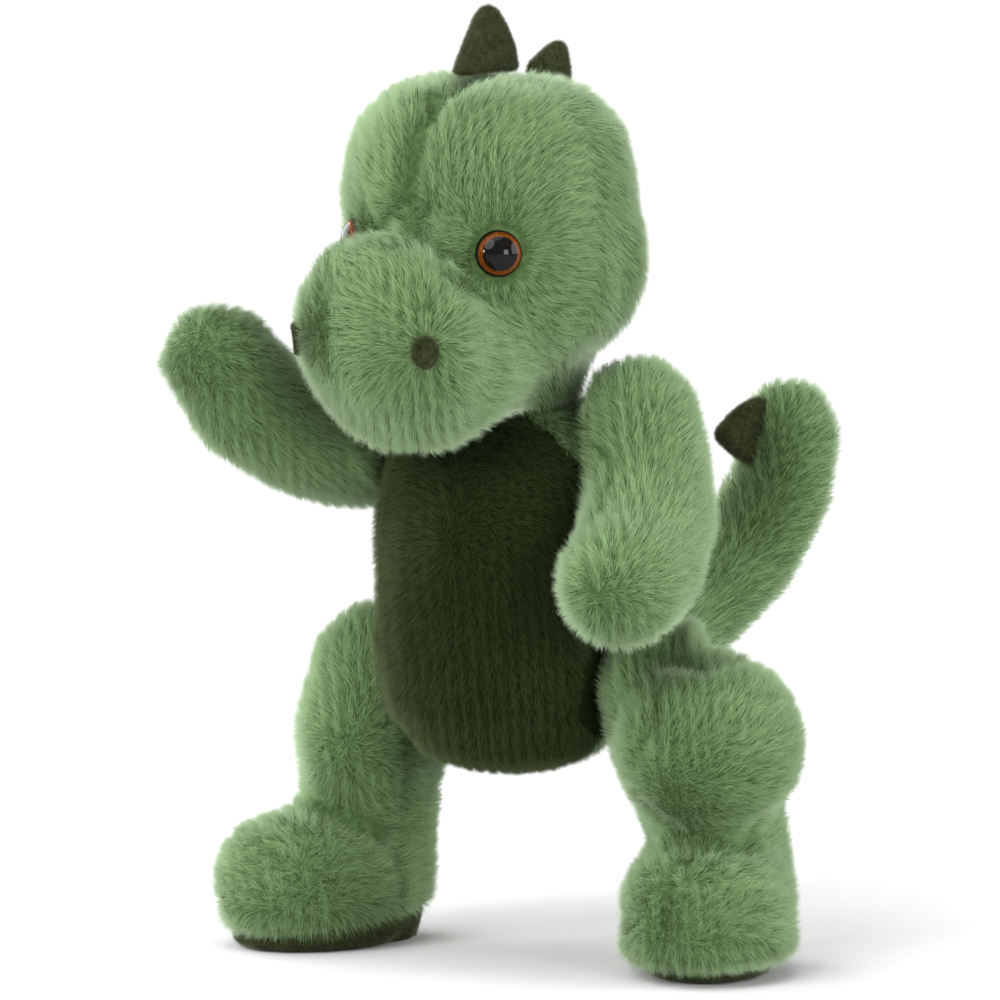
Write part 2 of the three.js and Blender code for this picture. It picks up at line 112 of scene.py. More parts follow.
def ramp(tree, factor, stops):
    """The colour of a factor, from (place, colour) stops."""
    node = add_node(tree, "ShaderNodeValToRGB", {"Fac": factor})
    elements = node.color_ramp.elements
    while len(elements) < len(stops):
        elements.new(0.5)
    for element, (place, color) in zip(elements, stops):
        element.position = place
        element.color = color
    return node.outputs["Color"]


MIX_FACTOR, MIX_A, MIX_B, MIX_RESULT = 0, 6, 7, 2  # a Mix node's sockets for colours


def mix_colors(tree, factor, a, b):
    node = add_node(tree, "ShaderNodeMix", data_type="RGBA")
    for index, value in ((MIX_FACTOR, factor), (MIX_A, a), (MIX_B, b)):
        if isinstance(value, bpy.types.NodeSocket):
            tree.links.new(value, node.inputs[index])
        else:
            node.inputs[index].default_value = value
    return node.outputs[MIX_RESULT]


def fur_material(name, root, body, tip, pale, sheen, sheen_color):
    """Strand colour: the map's V runs from root to tip, and its U is the strand's own tone. The
    darker root end is painted shade deep in the pile.
    """
    material, tree, shader = node_material(name, 0.7, 0.1, sheen)
    shader.inputs["Sheen Roughness"].default_value = 0.45
    shader.inputs["Sheen Tint"].default_value = linear(*sheen_color)
    uv = add_node(tree, "ShaderNodeUVMap", uv_map="OFBake")
    parts = add_node(tree, "ShaderNodeSeparateXYZ", {"Vector": uv.outputs["UV"]})
    along, tone = parts.outputs["Y"], parts.outputs["X"]
    # both ramps start at the root colour, which is painted shade deep in the pile
    dark = ramp(tree, along, [(0.0, linear(*root)), (0.45, linear(*body)), (1.0, linear(*tip))])
    light = ramp(tree, along, [(0.0, linear(*root)), (0.4, linear(*tip)), (1.0, linear(*pale))])
    color = mix_colors(tree, tone, dark, light)
    tree.links.new(color, shader.inputs["Base Color"])
    return material


def backing_material(name, low, high):
    """Knitted backing with the shadowed foot of the pile."""
    material, tree, shader = node_material(name, 0.95, 0.05)
    place = add_node(tree, "ShaderNodeTexCoord").outputs["Object"]
    noise = add_node(tree, "ShaderNodeTexNoise", {"Vector": place, "Scale": 450.0, "Detail": 3.0})
    color = ramp(tree, noise.outputs["Fac"], [(0.3, linear(*low)), (0.7, linear(*high))])
    tree.links.new(color, shader.inputs["Base Color"])
    bump = add_node(tree, "ShaderNodeBump", {"Height": noise.outputs["Fac"], "Distance": 0.0004})
    tree.links.new(bump.outputs["Normal"], shader.inputs["Normal"])
    return material


def nylon_material():
    """Plain white nylon for the joint discs, their rods and the eye washers."""
    material, tree, shader = node_material("nylon", 0.45, 0.4)
    place = add_node(tree, "ShaderNodeTexCoord").outputs["Object"]
    noise = add_node(tree, "ShaderNodeTexNoise", {"Vector": place, "Scale": 220.0, "Detail": 4.0})
    stops = [(0.3, linear(205, 204, 196)), (0.7, linear(228, 227, 220))]
    tree.links.new(ramp(tree, noise.outputs["Fac"], stops), shader.inputs["Base Color"])
    rough = add_node(
        tree,
        "ShaderNodeMapRange",
        {"Value": noise.outputs["Fac"], "To Min": 0.38, "To Max": 0.55},
    )
    tree.links.new(rough.outputs["Result"], shader.inputs["Roughness"])
    bump = add_node(tree, "ShaderNodeBump", {"Height": noise.outputs["Fac"], "Distance": 0.0001})
    tree.links.new(bump.outputs["Normal"], shader.inputs["Normal"])
    return material


PALE_GREEN = (214, 232, 204)
# each fur's colours run root, body, tip and pale; the dark root colour is painted shade deep in the
# pile
GREEN_FUR = fur_material(
    "green_fur", (56, 74, 42), (92, 118, 73), (120, 150, 99), (160, 190, 141), 0.65, PALE_GREEN
)
BELLY_FUR = fur_material(
    "belly_fur", (14, 20, 6), (26, 36, 12), (46, 58, 26), (72, 86, 46), 0.35, (150, 166, 120)
)
OLIVE_PILE = fur_material(
    "olive_pile", (24, 28, 12), (40, 46, 24), (60, 66, 40), (92, 98, 70), 0.4, (170, 176, 150)
)
GREEN_BACKING = backing_material("green_backing", (52, 70, 40), (76, 98, 60))
BELLY_BACKING = backing_material("belly_backing", (14, 20, 6), (26, 36, 12))
OLIVE_BACKING = backing_material("olive_backing", (30, 34, 18), (56, 62, 38))
NYLON = nylon_material()


# ---------------------------------------------------------------- meshes


def new_object(name, mesh, body):
    made = bpy.data.objects.new(name, mesh)
    SCENE.collection.objects.link(made)
    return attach(made, body)


def points_of(mesh):
    points = np.empty(len(mesh.vertices) * 3, np.float32)
    mesh.vertices.foreach_get("co", points)
    return points.reshape(-1, 3).astype(float)


def set_points(mesh, points):
    mesh.vertices.foreach_set("co", points.astype(np.float32).ravel())
    mesh.update()


def normals_of(mesh):
    normals = np.empty(len(mesh.vertices) * 3, np.float32)
    mesh.vertex_normals.foreach_get("vector", normals)
    return normals.reshape(-1, 3).astype(float)


def triangles_of(mesh):
    mesh.calc_loop_triangles()
    triangles = np.empty(len(mesh.loop_triangles) * 3, np.int32)
    mesh.loop_triangles.foreach_get("vertices", triangles)
    return triangles.reshape(-1, 3)


def edges_of(mesh):
    edges = np.empty(len(mesh.edges) * 2, np.int32)
    mesh.edges.foreach_get("vertices", edges)
    return edges.reshape(-1, 2)


def unit(vectors):
    return vectors / np.maximum(np.linalg.norm(vectors, axis=-1, keepdims=True), 1e-12)


def dots(a, b):
    return (a * b).sum(-1, keepdims=True)


def with_modifier(mesh, kind, **settings):
    """The mesh after one modifier."""
    carrier = bpy.data.objects.new("carrier", mesh)
    SCENE.collection.objects.link(carrier)
    modifier = carrier.modifiers.new("change", kind)
    for key, value in settings.items():
        setattr(modifier, key, value)
    depsgraph = bpy.context.evaluated_depsgraph_get()
    changed = bpy.data.meshes.new_from_object(carrier.evaluated_get(depsgraph))
    bpy.data.objects.remove(carrier)
    return changed


def joined(nodes):
    """One mesh with the faces of several CAD nodes."""
    points, faces, count = [], [], 0
    for node in nodes:
        mesh = frame["nodes"][node].data
        points.append(points_of(mesh))
        faces.append(triangles_of(mesh) + count)
        count += len(mesh.vertices)
    return mesh_from(np.vstack(points), np.vstack(faces))


def mesh_from(points, faces):
    mesh = bpy.data.meshes.new("made")
    faces = np.asarray(faces, np.int32)
    mesh.vertices.add(len(points))
    mesh.loops.add(faces.size)
    mesh.polygons.add(len(faces))
    mesh.vertices.foreach_set("co", np.asarray(points, np.float32).ravel())
    mesh.loops.foreach_set("vertex_index", faces.ravel())
    first_corners = np.arange(0, faces.size, faces.shape[1], dtype=np.int32)
    mesh.polygons.foreach_set("loop_start", first_corners)
    mesh.update(calc_edges=True)
    return mesh


def biggest_shell(mesh):
    """The mesh without the small closed shells inside it."""
    edges = edges_of(mesh)
    label = np.arange(len(mesh.vertices))
    while True:
        least = np.minimum(label[edges[:, 0]], label[edges[:, 1]])
        before = label.copy()
        np.minimum.at(label, edges[:, 0], least)
        np.minimum.at(label, edges[:, 1], least)
        label = label[label]
        if (label == before).all():
            break
    values, counts = np.unique(label, return_counts=True)
    keep = label == values[counts.argmax()]
    quads = np.empty(len(mesh.loops), np.int32)
    mesh.loops.foreach_get("vertex_index", quads)
    quads = quads.reshape(-1, 4)
    quads = quads[keep[quads[:, 0]]]
    number = np.cumsum(keep) - 1
    return mesh_from(points_of(mesh)[keep], number[quads])


SHRINK, REGROW = 0.5, -0.52  # how far each smoothing step goes towards a point's neighbours


def smoothed(mesh, rounds):
    """Rounds off facets and keeps the volume, by turns of shrinking and growing."""
    edges, points = edges_of(mesh), points_of(mesh)
    count = np.bincount(edges.ravel(), minlength=len(points))[:, None]
    for k in range(2 * rounds):
        total = np.zeros_like(points)
        np.add.at(total, edges[:, 0], points[edges[:, 1]])
        np.add.at(total, edges[:, 1], points[edges[:, 0]])
        points += (SHRINK if k % 2 == 0 else REGROW) * (total / count - points)
    set_points(mesh, points)


# ---------------------------------------------------------------- stuffed skins

VOXEL = 4 * MM
SKIN_BELOW = 2.5 * MM  # the skin is this far inside the CAD cover, and the pile stands on it
FLAT_NEAR = 1.6 * MM  # points this close to a joint's plane stay flat
JOINT_FACE = 45 * MM  # as far out from the joint as this
STANDING = 4 * MM  # a leg is flat below this height
FAR = 1.0  # metres, where a skin has no seam
PIN_NEAR = 2.5 * MM  # cloth this close to a seam is pinned
SWELL_STEPS = 20
CAP = 4 * MM  # the most that the cloth may move a point
SEAM_REACH = 4 * MM
SEAM_DEEP = 2.2 * MM


def filled(mesh, reach):
    """Fills the crooks that are tighter than a reach: grown, remeshed and shrunk back."""
    set_points(mesh, points_of(mesh) + normals_of(mesh) * reach)
    mesh = biggest_shell(with_modifier(mesh, "REMESH", mode="VOXEL", voxel_size=VOXEL))
    smoothed(mesh, 4)
    set_points(mesh, points_of(mesh) - normals_of(mesh) * reach)
    return mesh


def plane_distance(points, seam):
    at, normal = seam
    return np.abs((points - at) @ unit(np.asarray(normal, float)))


def start_skin(name, body, nodes, joints, seams, crook=0.0, below=SKIN_BELOW):
    """A closed skin round some CAD nodes, with its seams and joint faces pinned, ready to swell."""
    mesh = biggest_shell(with_modifier(joined(nodes), "REMESH", mode="VOXEL", voxel_size=VOXEL))
    smoothed(mesh, 12)
    if crook:
        mesh = filled(mesh, crook)
    points, normals = points_of(mesh), normals_of(mesh)
    flat = np.zeros(len(points), bool)
    for joint in joints:
        near = np.abs((points - joint_at(joint)) @ joint_axis(joint)) < FLAT_NEAR
        flat |= near & (np.linalg.norm(points - joint_at(joint), axis=1) < JOINT_FACE)
    if joints and "hip" in joints[0]:
        flat |= points[:, 2] < STANDING
    points -= normals * below * ~flat[:, None]
    set_points(mesh, points)
    skin = bpy.data.objects.new(name, mesh)
    SCENE.collection.objects.link(skin)
    away = np.full(len(points), FAR)
    for seam in seams:
        away = np.minimum(away, plane_distance(points, seam))
    pins = skin.vertex_groups.new(name="pins")
    pins.add([int(i) for i in np.flatnonzero(flat | (away < PIN_NEAR))], 1.0, "REPLACE")
    cloth = skin.modifiers.new("swell", "CLOTH")
    cloth.settings.vertex_group_mass = "pins"
    cloth.settings.quality = 4
    cloth.settings.mass = 0.15
    cloth.settings.use_pressure = True
    cloth.settings.uniform_pressure_force = 4.0
    cloth.settings.effector_weights.gravity = 0.0
    return {
        "skin": skin,
        "body": body,
        "nodes": nodes,
        "points": points,
        "away": away,
        "flat": flat,
    }


def eased(low, high, values):
    """0 below low, 1 above high, and a smooth step between them."""
    t = np.clip((values - low) / (high - low), 0, 1)
    return t * t * (3 - 2 * t)


def stuffed_ball(centre, radii, axes=np.eye(3), inwards=1.0, share=None):
    """Stuffing that rounds a skin out, or draws it in, to an ellipsoid where it is near one."""

    def move(points):
        local = (points - centre) @ np.array(axes).T / radii
        size = np.linalg.norm(local, axis=1)
        weight = eased(0.55, 0.75, size) * (1 - eased(1.12, 1.3, size))
        if share is not None:
            weight = weight * share(points, local)
        grow = np.clip(1 / np.maximum(size, 1e-6), inwards, 1.4)
        return points + (points - centre) * ((grow - 1) * weight)[:, None]

    return move


PRESSED = {}  # skin name: its pressed lines, for the pile to lie beside
LINE_STEPS = 12  # points between two given points of a line
FADE = (-0.3, 0.6)  # where a line fades out at its ends, in given points


def press(skin, line, across, deep):
    """Presses a sewn line or a fold into a skin; the line's points are drawn to the skin first."""
    points, normals = points_of(skin.data), normals_of(skin.data)
    line = np.array(line, float)
    steps = np.linspace(0, len(line) - 1, LINE_STEPS * (len(line) - 1) + 1)
    dense = np.stack([np.interp(steps, range(len(line)), line[:, k]) for k in range(3)], 1)
    ends = np.minimum(eased(*FADE, steps), eased(*FADE, steps[-1] - steps))
    near = np.array([np.linalg.norm(points - p, axis=1).argmin() for p in dense])
    dense = points[near]
    for k in range(1, len(dense) - 1):
        dense[k] = dense[k - 1 : k + 2].mean(0)
    gaps = np.linalg.norm(points[:, None] - dense[None], axis=2)
    nearest = gaps.argmin(1)
    pull = np.exp(-((gaps[np.arange(len(points)), nearest] / across) ** 2)) * ends[nearest]
    set_points(skin.data, points - normals * (pull * deep)[:, None])
    PRESSED.setdefault(skin.name, []).append((dense, across))


def swell(skins):
    """Swells the skins by cloth within the cap, then adds seams, bulges and creases."""
    for number in range(1, SWELL_STEPS + 1):
        SCENE.frame_set(number)
    depsgraph = bpy.context.evaluated_depsgraph_get()
    moved = [points_of(s["skin"].evaluated_get(depsgraph).data) for s in skins]
    SCENE.frame_set(1)
    for s, after in zip(skins, moved):
        skin = s["skin"]
        skin.modifiers.clear()
        move = after - s["points"]
        size = np.linalg.norm(move, axis=1, keepdims=True)
        move *= np.minimum(1, CAP / np.maximum(size, 1e-9))
        points = s["points"] + move
        set_points(skin.data, points)
        pull = np.exp(-((s["away"] / SEAM_REACH) ** 2))[:, None] * ~s["flat"][:, None]
        set_points(skin.data, points - normals_of(skin.data) * pull * SEAM_DEEP)
        skin.data = with_modifier(skin.data, "SUBSURF", levels=1)
        for bulge in BULGES.get(skin.name, []):
            set_points(skin.data, bulge(points_of(skin.data)))
        for line, across, deep in CREASES.get(skin.name, []):
            press(skin, line, across, deep)
        skin.data.shade_smooth()
        skin.vertex_groups.clear()
        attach(skin, s["body"])
        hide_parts(*s["nodes"])


LEFT_EYE, RIGHT_EYE = middle("left_eye"), middle("right_eye")
HEAD_MIDDLE = middle("head_filling")
head_across = unit((LEFT_EYE - RIGHT_EYE) * (1, 1, 0))
TORSO_MIDDLE = middle("torso_filling")
LEFT_SHOULDER, RIGHT_SHOULDER = joint_at("left_shoulder"), joint_at("right_shoulder")
LEFT_HIP, RIGHT_HIP = joint_at("left_hip"), joint_at("right_hip")
HEAD_SEAM = (HEAD_MIDDLE, head_across)
BELLY_SEAM = (TORSO_MIDDLE + mm(0, 0, -30), (0, -1, -0.2))

# where the pile parts on each limb
PAWS = {"left": LEFT_SHOULDER + mm(35, -60, -36), "right": RIGHT_SHOULDER + mm(-48, -70, 45)}
KNEES = {"left": LEFT_HIP + mm(37, -10, -26), "right": RIGHT_HIP + mm(-24, -12, -28)}


def foot_middle(side):
    low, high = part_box(f"{side}_sole")
    return np.array([(low[0] + high[0]) / 2, low[1] + 25 * MM, 28 * MM])


FEET = {side: foot_middle(side) for side in ("left", "right")}
HEAD_AXES = np.array([head_across, np.cross(head_across, (0, 0, 1)), (0, 0, 1)])


def on_head(across, out, up):
    """A place in millimetres from the head's middle: to its left, out of its face, and up."""
    return HEAD_MIDDLE + mm(across, out, up) @ HEAD_AXES


def both_sides(line):
    """A line on the head's left and its mirror on the right."""
    return [on_head(*p) for p in line], [on_head(-p[0], *p[1:]) for p in line]


def off(place, *offsets):
    return [place + mm(*offset) for offset in offsets]


# lines on the head, in the millimetres of on_head
MUZZLE_TOP = [(0, 39, 24), (8, 38, 20), (15, 37, 11), (20, 34, 5), (27, 28, 3)]
MUZZLE_SIDE = [(17, 37, 6), (21, 46, -6), (24, 54, -16)]
CROWN = [(0, 38, 25), (0, 36, 45), (0, 22, 62), (0, 0, 68), (0, -35, 60)]
JAW = (0, 23, -22)
KNEE = LEFT_HIP + mm(42, -3, -21)  # the middle of the left knee's stuffing


def puffed_edge(points):
    """The left foot's lower edge stands out over its sole."""
    low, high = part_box("left_sole")
    centre = np.array((low + high) / 2)
    out = (points - centre) * (1, 1, 0)
    far = np.linalg.norm(out, axis=1, keepdims=True)
    share = (1 - eased(10 * MM, 24 * MM, points[:, 2])) * eased(18 * MM, 30 * MM, far[:, 0])
    return points + out / np.maximum(far, 1e-6) * share[:, None] * 3 * MM


def away_from_hip(points, local):
    return eased(8 * MM, 20 * MM, points[:, 0] - LEFT_HIP[0])


def jaw_share(points, local):
    """The jaw's stuffing acts on the front of the head only, and less where it draws in."""
    return np.where(
        np.linalg.norm(local, axis=1) > 1,
        eased(0.3, 0.75, local[:, 1]),
        eased(0.1, 0.6, local[:, 1]),
    )


def fuller(points, centre):
    """The left arm is fuller on its outer side than its cover's plan."""
    out = points - centre
    share = eased(6 * MM, 20 * MM, points[:, 0] - LEFT_SHOULDER[0])
    return unit(out) * share[:, None] * 3.5 * MM


BULGES = {
    "head_skin": [
        stuffed_ball(on_head(24, -36, 2), mm(28, 28, 38)),
        stuffed_ball(on_head(-24, -36, 2), mm(28, 28, 38)),
        stuffed_ball(on_head(*JAW), mm(50, 51, 45), HEAD_AXES, inwards=0.86, share=jaw_share),
    ],
    "left_arm_skin": [
        lambda points: points + fuller(points, LEFT_SHOULDER + mm(20, -25, -10)),
    ],
    "left_leg_skin": [
        stuffed_ball(KNEE + mm(-3, 11, 21), mm(26, 26, 26), share=away_from_hip),
        stuffed_ball(KNEE, mm(35, 35, 35), share=away_from_hip),
        puffed_edge,
    ],
}
# each crease is a line on the skin, how wide it is and how deep
CREASES = {
    "head_skin": [
        *((line, 3.4 * MM, 6 * MM) for line in both_sides(MUZZLE_TOP)),
        *((line, 2.6 * MM, 6 * MM) for line in both_sides(MUZZLE_SIDE)),
        ([on_head(*p) for p in CROWN], 7 * MM, 3 * MM),
        ([on_head(-3, 14, 66), on_head(-1, 20, 62)], 6 * MM, 4 * MM),
    ],
    "left_arm_skin": [
        (
            off(LEFT_SHOULDER, (12, -24, 12), (22, -27, 3), (23, -44, -10), (21.5, -59, -23)),
            2.5 * MM,
            1.6 * MM,
        ),
    ],
    "left_leg_skin": [
        (
            off(KNEE, (-20, -26, -22), (-14, -24, -33), (5, -20, -38), (20, -8, -38))
            + off(KNEE, (32, 10, -30)),
            4 * MM,
            6 * MM,
        ),
        (
            off(KNEE, (-20, -6, 26), (-14, -12, 31), (7, -17, 31), (17, 15, 37)),
            3.5 * MM,
            4.5 * MM,
        ),
        (off(KNEE, (-7, -26, 23), (-5.6, -34, 9), (-14, -32, -6)), 2.6 * MM, 2.6 * MM),
        (
            off(LEFT_HIP, (47, -28, -62), (47, -42, -73), (44, -46, -88), (45, -50, -104)),
            2.6 * MM,
            3.2 * MM,
        ),
    ],
    "right_leg_skin": [
        (off(RIGHT_HIP, (-36, -24, -56), (-25, -21, -60), (-12, -16, -66)), 6 * MM, 2.5 * MM),
        (off(RIGHT_HIP, (8, -18, -30), (6, -14, -60), (2, -12, -90)), 3.5 * MM, 3 * MM),
    ],
}


def limb_nodes(limb):
    return [f"{limb}_cover", f"{limb}_filling"]


starts = [
    start_skin(
        "head_skin",
        "head",
        ["left_head_panel", "right_head_panel", "muzzle_panel", "chin_panel", "head_filling"],
        ["neck"],
        [HEAD_SEAM],
    ),
    start_skin(
        "torso_skin",
        "torso",
        ["belly_panel", "left_back_cover", "right_back_cover", "torso_filling"],
        list(JOINTS),
        [BELLY_SEAM],
    ),
    start_skin("tail_skin", "torso", limb_nodes("tail"), [], [], below=-1 * MM),
]
for side in ("left", "right"):
    starts.append(
        start_skin(
            f"{side}_arm_skin",
            f"{side}_arm",
            limb_nodes(f"{side}_arm"),
            [f"{side}_shoulder"],
            [],
            crook=15 * MM,
        )
    )
    starts.append(
        start_skin(
            f"{side}_leg_skin", f"{side}_leg", limb_nodes(f"{side}_leg"), [f"{side}_hip"], []
        )
    )
swell(starts)
SKINS = {s["skin"].name: s["skin"] for s in starts}
for skin in SKINS.values():
    skin.data.materials.append(GREEN_BACKING)


def is_belly(points, normals=None):
    at, normal = BELLY_SEAM
    return (points - at) @ unit(np.array(normal)) > 0


# the torso's backing is dark in front of the belly seam
torso_mesh = SKINS["torso_skin"].data
torso_mesh.materials.append(BELLY_BACKING)
centres = points_of(torso_mesh)[triangles_of(torso_mesh)].mean(1)
owner = np.empty(len(centres), np.int32)
torso_mesh.loop_triangles.foreach_get("polygon_index", owner)
slots = np.zeros(len(torso_mesh.polygons), np.int32)
slots[owner[is_belly(centres)]] = 1
torso_mesh.polygons.foreach_set("material_index", slots)

# ---------------------------------------------------------------- fur


def waves(points, length, seed):
    """A smooth random vector field with the given wavelength, from -1 to 1."""
    draw = np.random.default_rng(seed)
    total = np.zeros_like(points)
    for _ in range(5):
        way = unit(draw.normal(size=3)) * 2 * math.pi / (length * draw.uniform(0.75, 1.4))
        push = draw.normal(size=3)
        total += np.sin(points @ way + draw.uniform(0, 6.28))[:, None] * push
    return total / 2.2


def soft_normals(mesh, rounds=9):
    """Normals averaged with their neighbours', so that the pile turns gently over folds."""
    edges, normals = edges_of(mesh), normals_of(mesh)
    for _ in range(rounds):
        total = normals.copy()
        np.add.at(total, edges[:, 0], normals[edges[:, 1]])
        np.add.at(total, edges[:, 1], normals[edges[:, 0]])
        normals = unit(total)
    return normals


def scatter(mesh, count, draw):
    """Points spread evenly over a mesh, with their normals."""
    points, normals, triangles = points_of(mesh), soft_normals(mesh), triangles_of(mesh)
    a, b, c = (points[triangles[:, k]] for k in range(3))
    area = np.linalg.norm(np.cross(b - a, c - a), axis=1)
    pick = draw.choice(len(area), count, p=area / area.sum())
    u, v = draw.random((2, count, 1))
    flip = u + v > 1
    u, v = np.where(flip, 1 - u, u), np.where(flip, 1 - v, v)
    w = 1 - u - v
    place = w * a[pick] + u * b[pick] + v * c[pick]
    na, nb, nc = (normals[triangles[pick, k]] for k in range(3))
    return place, unit(w * na + u * nb + v * nc)


def area_of(mesh):
    points, triangles = points_of(mesh), triangles_of(mesh)
    a, b, c = (points[triangles[:, k]] for k in range(3))
    return np.linalg.norm(np.cross(b - a, c - a), axis=1).sum() / 2


ROOT_DEEP = 0.6 * MM  # a strand's root is this far under its skin
FLOOR_CLEAR = 0.4 * MM  # and all of it is above the floor by this
TURN_THIRD = 2 * math.pi / 3
NEEDLE = np.array([[0, 2, 1], [0, 1, 3], [1, 2, 3], [2, 0, 3]])
DENSITY = 2.7e6  # strands in a square metre
MOST_STRANDS = 49000  # in one piece


def strands(
    name, body, place, normal, along, length, width, lean, tone, material, draw, dark=0.0
):
    """Fur as thin closed needles: each stands on `place` and leans towards `along`.

    The map's U is the strand's own tone. Its V runs from 0 at the root to 1 - dark at the tip, and
    dark is painted shade that keeps the tip in the darker root colours.
    """
    count = len(place)
    along = unit(along - normal * dots(along, normal))
    lean = lean[:, None]
    way = np.cos(lean) * normal + np.sin(lean) * along
    root = place - normal * ROOT_DEEP
    tip = place + way * length[:, None]
    np.maximum(tip[:, 2], FLOOR_CLEAR, out=tip[:, 2])
    side = unit(np.cross(way, normal))
    other = np.cross(way, side)
    turn = draw.uniform(0, 2 * math.pi, (count, 1))
    ring = []
    for k in range(3):
        angle = turn + k * TURN_THIRD
        ring.append(root + width[:, None] * (np.cos(angle) * side + np.sin(angle) * other))
    points = np.stack([*ring, tip], 1)
    np.maximum(points[:, :, 2], FLOOR_CLEAR, out=points[:, :, 2])
    faces = (np.arange(count)[:, None, None] * 4 + NEEDLE).reshape(-1, 3)
    mesh = mesh_from(points.reshape(-1, 3), faces)
    level = np.zeros((count, 4))
    level[:, 3] = 1 - dark
    level = level.ravel()
    across = np.repeat(tone, 4)
    uv = mesh.uv_layers.new(name="OFBake")
    corners = faces.ravel()
    both = np.stack([0.02 + 0.96 * across[corners], 0.01 + 0.98 * level[corners]], 1)
    uv.data.foreach_set("uv", both.astype(np.float32).ravel())
    shade = unit(normal * 0.8 + way * 0.2)
    shading = mesh.attributes.new("custom_normal", "FLOAT_VECTOR", "POINT")
    shading.data.foreach_set("vector", np.repeat(shade, 4, 0).astype(np.float32).ravel())
    mesh.materials.append(material)
    made = new_object(name, mesh, body)


def flow(points, base, whorls):
    """Where the pile lies: a base direction, turned to run out of each whorl."""
    way = np.tile(np.asarray(base, float), (len(points), 1))
    for at, reach, strength in whorls:
        out = points - at
        away = np.linalg.norm(out, axis=1, keepdims=True)
        way += strength * unit(out) * np.exp(-((away / reach) ** 2))
    return way


SOLE_SIDE = np.array((0.866, 0.5, 0))


def sole_rise(points):
    """How far round the inner side of the right sole a point is, where its padded edge rises."""
    return eased(-28 * MM, 30 * MM, (points - middle("right_sole")) @ SOLE_SIDE)


HEAD_SKIN = points_of(SKINS["head_skin"].data)
HEAD_NORMALS = soft_normals(SKINS["head_skin"].data, 12)


def head_spot(place, centre):
    """Where the line from a centre through a place leaves the head's skin, and the facing there."""
    spot = (unit(HEAD_SKIN - centre) @ unit(place - centre)).argmax()
    return HEAD_SKIN[spot], HEAD_NORMALS[spot]


# each eye sits in a socket, where the skin is pushed back to the plane behind it
EYE_SPOTS = {side: head_spot(middle(f"{side}_eye"), HEAD_MIDDLE) for side in ("left", "right")}
for at, facing in EYE_SPOTS.values():
    level = (HEAD_SKIN - at) @ facing
    beside = np.linalg.norm(HEAD_SKIN - at, axis=1)
    sink = np.maximum(level - 0.3 * MM, 0) * (1 - eased(11 * MM, 17 * MM, beside))
    HEAD_SKIN -= sink[:, None] * facing
set_points(SKINS["head_skin"].data, HEAD_SKIN)
NOSTRIL_SPOTS = {
    side: head_spot(middle(f"{side}_nostril"), on_head(*JAW)) for side in ("left", "right")
}
# places and how far round each there is no fur
BARE = [(spot[0], 10.5 * MM) for spot in EYE_SPOTS.values()]
BARE += [(spot[0], 3.5 * MM) for spot in NOSTRIL_SPOTS.values()]
draw = np.random.default_rng(7)


def beside_lines(points, skin):
    """1 on a pressed line of a skin, falling to 0 away from it."""
    close = np.zeros(len(points))
    for line, across in PRESSED.get(skin, []):
        for at in line[::2]:
            away = np.linalg.norm(points - at, axis=1)
            close = np.maximum(close, np.exp(-((away / (across * 0.8)) ** 2)))
    return close


def everywhere(points, normals):
    return np.ones(len(points), bool)


JOINT_GAP = 2.2 * MM  # no fur stands this close to a joint's plane
JOINT_BARE = 30 * MM  # as far out from the joint as this
CORE = 0.62  # nor in the core of a pressed line, by beside_lines
MEAN_LEAN = 54  # degrees from the skin's normal
DOWNWARD = np.array((0, 0, -1.8))  # the foot's pile turns down at the floor


def fur(
    name,
    skin,
    body,
    keep,
    base,
    whorls,
    material=GREEN_FUR,
    long=6.6,
    thick=1.0,
    floor=0.0,
):
    """The pile of one sewn panel: strands on the part of a skin that `keep` chooses."""
    mesh = SKINS[skin].data
    place, normal = scatter(mesh, int(area_of(mesh) * DENSITY * thick), draw)
    chosen = keep(place, normal)
    for joint in JOINTS:
        level = np.abs((place - joint_at(joint)) @ joint_axis(joint))
        beyond = np.linalg.norm(place - joint_at(joint), axis=1) > JOINT_BARE
        chosen &= (level > JOINT_GAP) | beyond
    for spot, clear in BARE:
        chosen &= np.linalg.norm(place - spot, axis=1) > clear
    place, normal = place[chosen], normal[chosen]
    open_pile = beside_lines(place, skin) < CORE
    place, normal = place[open_pile][:MOST_STRANDS], normal[open_pile][:MOST_STRANDS]
    count = len(place)
    along = unit(flow(place, base, whorls))
    if floor:
        along += (1 - eased(8 * MM, floor, place[:, 2]))[:, None] * DOWNWARD
    along += 0.22 * waves(place, 5 * MM, 3) + 0.16 * waves(place, 17 * MM, 5)
    along += 0.16 * draw.normal(size=(count, 3))
    beside = beside_lines(place, skin)
    length = long * MM * draw.uniform(0.65, 1.1, count) * (1 - 0.6 * beside)
    lean = MEAN_LEAN + 5 * waves(place, 7 * MM, 11)[:, 0] + 8 * draw.normal(size=count)
    lean = np.clip(np.radians(lean), 0.15, 1.25)
    width = MM * draw.uniform(0.07, 0.14, count) * 1.0
    tone = 0.42 + 0.12 * waves(place, 30 * MM, 21)[:, 0] + 0.2 * draw.normal(size=count)
    # painted shade in creases: a strand beside a pressed line gets a darker tone
    tone = np.clip(tone * (1 - 0.8 * beside), 0, 1)
    # painted shade in creases: its tip keeps the darker root colours
    dark = 0.75 * beside
    strands(
        name, body, place, normal, along, length, width, lean, tone, material, draw, dark
    )


def head_local(points):
    """Points in the millimetres of on_head."""
    return (points - HEAD_MIDDLE) @ HEAD_AXES.T / MM


MUZZLE_FROM, MUZZLE_TO, CHIN_TO, BACK_TO = 36, 26, -24, -10  # where the head's panels meet


def is_muzzle(local):
    return (local[:, 1] > MUZZLE_FROM) & (local[:, 2] < MUZZLE_TO)


def head_panel(*tests):
    """Chooses a panel's points by tests in the head's own millimetres."""
    return lambda p, n: np.all([test(head_local(p)) for test in tests], axis=0)


def is_skull(local):
    return ~is_muzzle(local)


